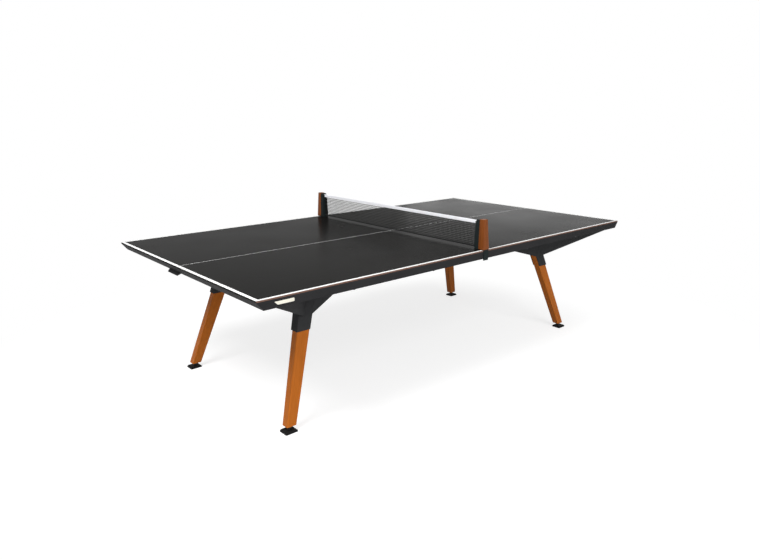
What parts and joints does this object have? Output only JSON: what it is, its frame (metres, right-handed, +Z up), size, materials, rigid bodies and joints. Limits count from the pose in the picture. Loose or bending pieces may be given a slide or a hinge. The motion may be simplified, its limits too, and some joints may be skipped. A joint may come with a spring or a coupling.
{
  "type": "ping pong table",
  "caption": "Outdoor ping pong table with a dark top, folded steel aprons and leg brackets, splayed wooden legs, levelling feet and a lift-off net on wooden posts.",
  "frame": {"origin": "on the floor under the middle of the table", "axes": "+X along the table's length to the far end, +Y to the left-hand long side as seen from the near end, +Z up"},
  "size_m": [2.74, 1.538, 0.924],
  "materials": {
    "playing_top": "matt laminate",
    "apron_paint": "satin powder coat",
    "frame_paint": "satin powder coat",
    "leg_wood": "oiled",
    "post_wood": "oiled",
    "pad_rubber": "matt",
    "foot_steel": "black zinc",
    "net_metal": "satin powder coat",
    "net_cord": "knotted cord",
    "tape_cloth": "woven",
    "hem_cloth": "woven",
    "plain_steel": "zinc plated",
    "bolt_black": "black oxide"
  },
  "bodies": {
    "table": {"apron_fixings": "bolt_black", "bracket_bolts": "bolt_black", "far_cross_rail": "frame_paint", "far_end_apron": "apron_paint", "far_end_rail": "frame_paint", "far_hand_pull": "apron_paint", "far_joint_rail": "frame_paint", "far_left_leg": "leg_wood", "far_left_leg_bracket": "frame_paint", "far_left_long_rail": "frame_paint", "far_left_outriggers": "frame_paint", "far_left_side_apron": "apron_paint", "far_right_leg": "leg_wood", "far_right_leg_bracket": "frame_paint", "far_right_long_rail": "frame_paint", "far_right_outriggers": "frame_paint", "far_right_side_apron": "apron_paint", "far_top_panel": "playing_top", "foot_inserts": "plain_steel", "joint_bolts": "plain_steel", "leg_bolts": "bolt_black", "near_cross_rail": "frame_paint", "near_end_apron": "apron_paint", "near_end_rail": "frame_paint", "near_hand_pull": "apron_paint", "near_joint_rail": "frame_paint", "near_left_leg": "leg_wood", "near_left_leg_bracket": "frame_paint", "near_left_long_rail": "frame_paint", "near_left_outriggers": "frame_paint", "near_left_side_apron": "apron_paint", "near_right_leg": "leg_wood", "near_right_leg_bracket": "frame_paint", "near_right_long_rail": "frame_paint", "near_right_outriggers": "frame_paint", "near_right_side_apron": "apron_paint", "near_top_panel": "playing_top", "pull_bolts": "bolt_black"},
    "net_set": {"net_mesh": "net_cord", "net_tape": "tape_cloth", "net_hem": "hem_cloth", "left_post_block": "post_wood", "right_post_block": "post_wood", "left_post_core": "net_metal", "right_post_core": "net_metal", "left_net_hook": "net_metal", "right_net_hook": "net_metal", "post_screws": "plain_steel"},
    "far_left_pad": {"far_left_foot_pad": "pad_rubber"},
    "far_left_stem": {"far_left_foot_stem": "foot_steel"},
    "far_right_pad": {"far_right_foot_pad": "pad_rubber"},
    "far_right_stem": {"far_right_foot_stem": "foot_steel"},
    "near_left_pad": {"near_left_foot_pad": "pad_rubber"},
    "near_left_stem": {"near_left_foot_stem": "foot_steel"},
    "near_right_pad": {"near_right_foot_pad": "pad_rubber"},
    "near_right_stem": {"near_right_foot_stem": "foot_steel"}
  },
  "joints": [
    {"name": "net_lift", "type": "slide", "parent": "table", "child": "net_set", "axis": [0, 0, 1], "range_m": [0, 0.2]},
    {"name": "far_left_foot_travel", "type": "slide", "parent": "table", "child": "far_left_pad", "axis": [0.3082, 0.1786, -0.9344], "range_m": [0, 0.012]},
    {"name": "far_left_foot_turn", "type": "hinge", "parent": "far_left_pad", "child": "far_left_stem", "pos_m": [1.11376, 0.52292, 0.0095], "axis": [0.3082, 0.1786, -0.9344], "range_deg": [0, 2163]},
    {"name": "far_right_foot_travel", "type": "slide", "parent": "table", "child": "far_right_pad", "axis": [0.3082, -0.1786, -0.9344], "range_m": [0, 0.012]},
    {"name": "far_right_foot_turn", "type": "hinge", "parent": "far_right_pad", "child": "far_right_stem", "pos_m": [1.11376, -0.52292, 0.0095], "axis": [0.3082, -0.1786, -0.9344], "range_deg": [0, 2163]},
    {"name": "near_left_foot_travel", "type": "slide", "parent": "table", "child": "near_left_pad", "axis": [-0.3082, 0.1786, -0.9344], "range_m": [0, 0.012]},
    {"name": "near_left_foot_turn", "type": "hinge", "parent": "near_left_pad", "child": "near_left_stem", "pos_m": [-1.11376, 0.52292, 0.0095], "axis": [-0.3082, 0.1786, -0.9344], "range_deg": [0, 2163]},
    {"name": "near_right_foot_travel", "type": "slide", "parent": "table", "child": "near_right_pad", "axis": [-0.3082, -0.1786, -0.9344], "range_m": [0, 0.012]},
    {"name": "near_right_foot_turn", "type": "hinge", "parent": "near_right_pad", "child": "near_right_stem", "pos_m": [-1.11376, -0.52292, 0.0095], "axis": [-0.3082, -0.1786, -0.9344], "range_deg": [0, 2163]}
  ],
  "couplings": [
    {"joint": "far_left_foot_turn", "follows": "far_left_foot_travel", "rad_per_m": 3141.6},
    {"joint": "far_right_foot_turn", "follows": "far_right_foot_travel", "rad_per_m": 3141.6},
    {"joint": "near_left_foot_turn", "follows": "near_left_foot_travel", "rad_per_m": 3141.6},
    {"joint": "near_right_foot_turn", "follows": "near_right_foot_travel", "rad_per_m": 3141.6}
  ]
}
